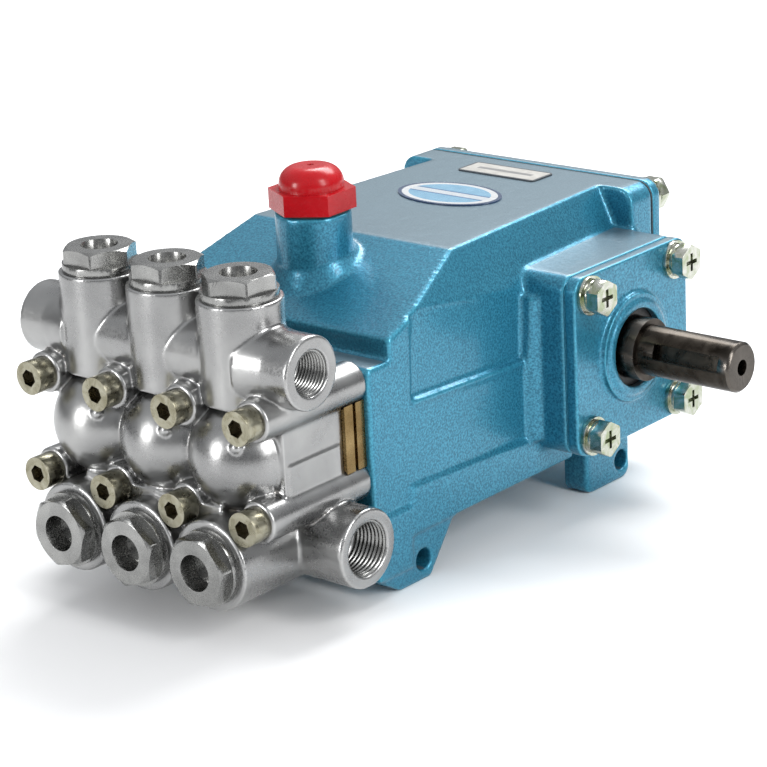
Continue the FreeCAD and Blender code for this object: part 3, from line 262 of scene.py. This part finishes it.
def shaft_steel():
    """Dark stained steel with turning marks around X."""
    look = Look("shaft_steel", Metallic=1.0)
    stain = look.noise(120.0, 4.0, lumps=0.7)
    turning = look.noise(2600.0, 1.0, stretch=(1.0, 0.04, 0.04))
    base = look.mix(look.span(stain, 0.3, 0.7), (0.016, 0.013, 0.010), (0.065, 0.055, 0.045))
    # Painted highlight: lighter grey along the ridges.
    painted_ridge_highlight = look.span(look.edges(), 0.51, 0.56, 0.0, 0.6)
    look.paint(look.mix(painted_ridge_highlight, base, (0.26, 0.24, 0.22)))
    look.gloss(look.span(stain, 0.3, 0.7, 0.20, 0.38))
    look.bump(turning, 0.00005, 0.4)
    return look.material


def red_cap():
    look = Look("red_cap", Coat_Weight=0.15, Coat_Roughness=0.05, Specular_IOR_Level=0.25)
    look.paint(look.cloudy(60.0, (0.34, 0.002, 0.005), (0.43, 0.003, 0.008), 2.0))
    look.satin(300.0, 0.22, 0.34)
    look.bump(look.noise(380.0, 2.0), 0.00010, 0.3)
    return look.material


def rubber():
    look = Look("black_rubber")
    look.paint(look.cloudy(160.0, (0.010, 0.010, 0.011), (0.028, 0.027, 0.026)))
    look.satin(500.0, 0.45, 0.65)
    look.bump(look.noise(1200.0), 0.00006, 0.4)
    return look.material


def gasket():
    look = Look("gasket_grey")
    fibres = look.span(look.noise(900.0), 0.35, 0.65)
    look.paint(look.mix(fibres, (0.045, 0.05, 0.055), (0.10, 0.10, 0.10)))
    look.satin(500.0, 0.65, 0.85)
    look.bump(look.noise(1400.0), 0.00008, 0.5)
    return look.material


def ceramic():
    look = Look("ceramic_white", Coat_Weight=0.4, Coat_Roughness=0.05)
    look.paint(look.cloudy(80.0, (0.78, 0.77, 0.72), (0.86, 0.85, 0.81)))
    look.satin(700.0, 0.10, 0.18)
    return look.material


def oil_window():
    """Sight glass: amber oil below the level, pale above it."""
    look = Look("clear_glass", Coat_Weight=0.8, Coat_Roughness=0.03)
    oil = look.cloudy(90.0, (0.30, 0.17, 0.03), (0.38, 0.23, 0.05))
    air = look.span(look.split(look.place)["Z"], *OIL_LEVEL)
    look.paint(look.mix(air, oil, (0.55, 0.55, 0.50)))
    look.satin(400.0, 0.05, 0.12)
    return look.material


def badge_blue():
    """Oval badge: dark outline, white rim, light blue field with plain bands."""
    look = Look("badge_blue", Coat_Weight=0.6, Coat_Roughness=0.05)
    spot = look.over("badge")
    length = look.new("ShaderNodeVectorMath", operation="LENGTH")
    look.link(spot, length.inputs[0])
    reach = length.outputs["Value"]
    across = look.math("ABSOLUTE", look.split(spot)["Y"])
    field = look.cloudy(300.0, (0.14, 0.32, 0.47), (0.18, 0.38, 0.53))
    field = look.mix(look.span(across, 0.20, 0.21, 1.0, 0.0), field, (0.04, 0.13, 0.28))
    field = look.mix(look.span(across, 0.13, 0.14, 1.0, 0.0), field, (0.50, 0.54, 0.57))
    rimmed = look.mix(look.span(reach, 0.79, 0.80), field, (0.58, 0.60, 0.61))
    look.paint(look.mix(look.span(reach, 0.92, 0.93), rimmed, (0.02, 0.05, 0.12)))
    look.satin(260.0, 0.20, 0.32)
    return look.material


def label_white():
    """Plain off-white plate with a thin dark border and one grey bar."""
    look = Look("label_white", Metallic=0.2)
    spot = look.split(look.over("label_plate"))
    along, across = (look.math("ABSOLUTE", spot[axis]) for axis in ("X", "Y"))
    plate = look.cloudy(200.0, (0.40, 0.39, 0.36), (0.48, 0.47, 0.44))
    bar = look.math("MULTIPLY", look.span(along, 0.70, 0.71, 1.0, 0.0),
                    look.span(across, 0.16, 0.20, 1.0, 0.0))
    plate = look.mix(bar, plate, (0.20, 0.20, 0.20))
    border = look.math("MAXIMUM", look.span(along, 0.94, 0.95), look.span(across, 0.84, 0.87))
    look.paint(look.mix(border, plate, (0.06, 0.07, 0.08)))
    look.satin(400.0, 0.30, 0.42)
    return look.material


MATERIALS = {
    "blue_paint": blue_paint(),
    "nickel_casting": nickel_casting(),
    "nickel_plug": machined("nickel_plug", (0.22, 0.22, 0.215), (0.34, 0.34, 0.33), 0.26),
    "brass": machined("brass", (0.14, 0.088, 0.032), (0.27, 0.19, 0.085), 0.28),
    "red_cap": red_cap(),
    "zinc_olive": zinc_olive(),
    "zinc_bright": zinc_bright(),
    "shaft_steel": shaft_steel(),
    "forged_steel": machined("forged_steel", (0.20, 0.19, 0.18), (0.36, 0.35, 0.34), 0.42),
    "bearing_steel": machined("bearing_steel", (0.60, 0.60, 0.61), (0.75, 0.75, 0.76), 0.14),
    "stainless": machined("stainless", (0.48, 0.48, 0.47), (0.64, 0.64, 0.62), 0.26),
    "ceramic_white": ceramic(),
    "black_rubber": rubber(),
    "gasket_grey": gasket(),
    "clear_glass": oil_window(),
    "badge_blue": badge_blue(),
    "label_white": label_white(),
}


# ---------------------------------------------------------------------------------------------
# Mesh helpers
# ---------------------------------------------------------------------------------------------
FIXED_BODY = "pump_case"


def place(name, data):
    item = bpy.data.objects.new(name, data)
    bpy.context.scene.collection.objects.link(item)
    return item


def baked(form, name):
    """Turns a bmesh into a mesh and frees it."""
    mesh = bpy.data.meshes.new(name)
    form.to_mesh(mesh)
    form.free()
    return mesh


def link(name, mesh, slot):
    """Adds a finished piece that rides on the case."""
    item = place(name, mesh)
    mesh.materials.clear()
    mesh.materials.append(MATERIALS[slot])
    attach(item, FIXED_BODY)
    return item


# ---------------------------------------------------------------------------------------------
# Castings: voxel-remeshed from the CAD nodes and softened
# ---------------------------------------------------------------------------------------------
WELD_DISTANCE = 1e-6
CYLINDER_PITCH = 35.0 * MM
DOME_CENTRE_INSET = 22.8 * MM           # from the manifold's front to the domes' centres
DOME_HEIGHT = 67.0 * MM
DOME_RADIUS = 21.0 * MM
BUMP_SPOT = Vector((10.5 * MM, 0.0, 8.5 * MM))
BUMP_RADIUS = 2.4 * MM
BUMP_SUNK = 0.4 * MM


def cast_mesh(node, voxel, passes, extras):
    form = bmesh.new()
    form.from_mesh(NODES[node].data)
    for extra in extras:
        form.from_mesh(extra)
    bmesh.ops.remove_doubles(form, verts=form.verts, dist=WELD_DISTANCE)
    item = place("cast", baked(form, "cast"))
    remesh = item.modifiers.new("Remesh", "REMESH")
    remesh.mode = "VOXEL"
    remesh.voxel_size = voxel
    smooth = item.modifiers.new("Smooth", "SMOOTH")
    smooth.factor = 0.5
    smooth.iterations = passes
    graph = bpy.context.evaluated_depsgraph_get()
    mesh = bpy.data.meshes.new_from_object(item.evaluated_get(graph))
    bpy.data.objects.remove(item)
    mesh.shade_smooth()
    return mesh


def cast(node, voxel, passes, slot, extras=()):
    piece = link(f"{node}_casting", cast_mesh(node, voxel, passes, extras), slot)
    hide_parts(node)


def dome_bumps():
    """Small cast bump at each dome's upper right."""
    front = node_box("manifold")[0].y
    depth = math.sqrt(DOME_RADIUS ** 2 - BUMP_SPOT.length_squared)
    bumps = []
    for index in (-1, 0, 1):
        middle = Vector((index * CYLINDER_PITCH, front + DOME_CENTRE_INSET, DOME_HEIGHT))
        form = bmesh.new()
        bmesh.ops.create_icosphere(form, subdivisions=3, radius=BUMP_RADIUS)
        bmesh.ops.translate(form, verts=form.verts,
                            vec=middle + BUMP_SPOT - Vector((0, depth - BUMP_SUNK, 0)))
        bumps.append(baked(form, "bump"))
    return bumps


cast("crankcase", 0.0009, 8, "blue_paint")
for hand in ("left", "right"):
    cast(f"bearing_cover_{hand}", 0.0006, 5, "blue_paint")
cast("rear_cover", 0.0007, 4, "blue_paint")
cast("manifold", 0.0006, 10, "nickel_casting", dome_bumps())

# ---------------------------------------------------------------------------------------------
# Port threads: a sleeve with a helical inner wall in each threaded mouth
# ---------------------------------------------------------------------------------------------
FINE_BELOW = 10.0                       # port radius in mm that still takes the finer thread
FINE_PITCH, COARSE_PITCH = 1.41 * MM, 1.81 * MM
THREAD_HEIGHT = 0.8 * MM
SLEEVE_WALL = 0.3 * MM
MOUTH_INSET, SLEEVE_SHORTER = 1.0, 1.5  # mm, so that the sleeve stays inside the mouth
AROUND, PER_PITCH = 96, 8               # mesh steps per turn and per pitch
FLANK = 2.4


def threaded_liner(radius, depth, pitch):
    """Closed sleeve below the origin, about +Z."""
    form = bmesh.new()

    def ring(z, radius_at):
        row = []
        for index in range(AROUND):
            turn = 2 * math.pi * index / AROUND
            reach = radius_at(index)
            row.append(form.verts.new((reach * math.cos(turn), reach * math.sin(turn), z)))
        return row

    def thread_radius(step, index):
        phase = (step / PER_PITCH + index / AROUND) % 1.0
        return radius - THREAD_HEIGHT * min(1.0, FLANK * min(phase, 1 - phase))

    count = round(depth / pitch * PER_PITCH)
    rows = [ring(-depth * step / count, lambda index: thread_radius(step, index))
            for step in range(count + 1)]
    rows += [ring(z, lambda index: radius + SLEEVE_WALL) for z in (-depth, 0.0)]
    for low, high in zip(rows, rows[1:] + rows[:1]):
        for index in range(AROUND):
            after = (index + 1) % AROUND
            form.faces.new((low[index], high[index], high[after], low[after]))
    bmesh.ops.recalc_face_normals(form, faces=form.faces)
    mesh = baked(form, "thread")
    mesh.shade_smooth()
    return mesh


for mount in frame["record"]["mounts"]:
    if mount["kind"] != "threaded_hole":
        continue
    radius, length = mount["dims"]["r_mm"], mount["dims"]["length_mm"]
    outward = Vector(mount["axis"])
    mouth = Vector(mount["pos_m"]) + outward * (length / 2 - MOUTH_INSET) * MM
    mesh = threaded_liner(radius * MM, (length - SLEEVE_SHORTER) * MM,
                          FINE_PITCH if radius < FINE_BELOW else COARSE_PITCH)
    turn = Vector((0, 0, 1)).rotation_difference(outward).to_matrix().to_4x4()
    mesh.transform(Matrix.Translation(mouth) @ turn)
    link(f"{mount['name']}_thread", mesh, "nickel_plug")

# ---------------------------------------------------------------------------------------------
# Valve springs, split into one piece per valve
# ---------------------------------------------------------------------------------------------
SPRING_REACH = 12 * MM                  # half the width that holds one spring and no other


def make_springs(kind):
    name = f"{kind}_valve_springs"
    for number in (1, 2, 3):
        middle = node_box(f"{kind}_valve_{number}")[2]
        form = bmesh.new()
        form.from_mesh(NODES[name].data)
        others = [vert for vert in form.verts if abs(vert.co.x - middle.x) > SPRING_REACH]
        bmesh.ops.delete(form, geom=others, context="VERTS")
        coil = link(f"{kind}_valve_{number}_spring", baked(form, "coil"), SLOT_OF[name])
        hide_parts(name)
        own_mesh(coil)


make_springs("discharge")
make_springs("inlet")

# ---------------------------------------------------------------------------------------------
# CAD nodes that keep their shape: material and a fine edge bevel
# ---------------------------------------------------------------------------------------------
BEVEL_WIDTH = 0.3 * MM
BEVEL_FROM = math.radians(40)

for name, item in NODES.items():
    if SLOT_OF[name] not in MATERIALS:
        continue
    item.data.materials.clear()
    item.data.materials.append(MATERIALS[SLOT_OF[name]])
    if item.hide_render:
        continue
    weld = item.modifiers.new("Weld", "WELD")
    weld.merge_threshold = WELD_DISTANCE
    bevel = item.modifiers.new("Bevel", "BEVEL")
    bevel.width = BEVEL_WIDTH
    bevel.segments = 2
    bevel.limit_method = "ANGLE"
    bevel.angle_limit = BEVEL_FROM
    bevel.harden_normals = True


# ---------------------------------------------------------------------------------------------
# Stage
# ---------------------------------------------------------------------------------------------
FLOOR_HALF = 6.0
LIGHT_TARGET = Vector((0.0, 0.0, 0.07))
SKY_RISE = (0.0, 0.55, 0.16, 0.75)      # from height, to height, strength there and there
SKY_COLOR = (0.95, 0.97, 1.0, 1.0)
CAMERA_ANGLES = (40.84, 18.61, -2.87)   # azimuth, elevation and roll in degrees
CAMERA_AT = (0.696, -0.78935, 0.411)
LENS, SENSOR = 131.4, 36.0


def make_floor():
    look = Look("floor", Roughness=0.6)
    look.paint(look.cloudy(8.0, (0.88, 0.88, 0.88), (0.91, 0.91, 0.91)))
    form = bmesh.new()
    bmesh.ops.create_grid(form, x_segments=1, y_segments=1, size=FLOOR_HALF)
    mesh = baked(form, "floor")
    mesh.materials.append(look.material)
    place("floor", mesh)


def area_light(name, at, size, power):
    data = bpy.data.lights.new(name, "AREA")
    data.shape = "RECTANGLE"
    data.size, data.size_y = size
    data.energy = power
    item = place(name, data)
    item.location = at
    item.rotation_euler = (LIGHT_TARGET - Vector(at)).to_track_quat("-Z", "Y").to_euler()


def make_world():
    """Dim at the horizon and bright overhead, for contrast on the metal."""
    world = bpy.data.worlds.new("studio")
    world.use_nodes = True
    tree = world.node_tree
    coordinates = tree.nodes.new("ShaderNodeTexCoord")
    split = tree.nodes.new("ShaderNodeSeparateXYZ")
    rise = tree.nodes.new("ShaderNodeMapRange")
    for socket, number in zip(("From Min", "From Max", "To Min", "To Max"), SKY_RISE):
        rise.inputs[socket].default_value = number
    tree.links.new(coordinates.outputs["Generated"], split.inputs["Vector"])
    tree.links.new(split.outputs["Z"], rise.inputs["Value"])
    tree.links.new(rise.outputs["Result"], tree.nodes["Background"].inputs["Strength"])
    tree.nodes["Background"].inputs["Color"].default_value = SKY_COLOR
    bpy.context.scene.world = world


def make_camera():
    azimuth, elevation, roll = (math.radians(angle) for angle in CAMERA_ANGLES)
    back = Vector((math.sin(azimuth) * math.cos(elevation),
                   -math.cos(azimuth) * math.cos(elevation), math.sin(elevation)))
    right = Vector((math.cos(azimuth), math.sin(azimuth), 0.0))
    up = back.cross(right)
    across = math.cos(roll) * right + math.sin(roll) * up
    upward = -math.sin(roll) * right + math.cos(roll) * up
    data = bpy.data.cameras.new("camera")
    data.lens = LENS
    data.sensor_width = SENSOR
    camera = place("camera", data)
    turn = Matrix((across, upward, back)).transposed().to_4x4()
    camera.matrix_world = Matrix.Translation(CAMERA_AT) @ turn
    bpy.context.scene.camera = camera


make_floor()
make_world()
make_camera()
area_light("overhead", (-0.2, 1.1, 1.4), (1.5, 0.7), 36.0)
area_light("front_left", (-0.5, -1.5, 0.45), (0.35, 0.6), 11.0)
area_light("right_side", (1.4, -0.1, 0.8), (0.4, 1.0), 15.0)
bpy.context.scene.view_settings.view_transform = "Standard"
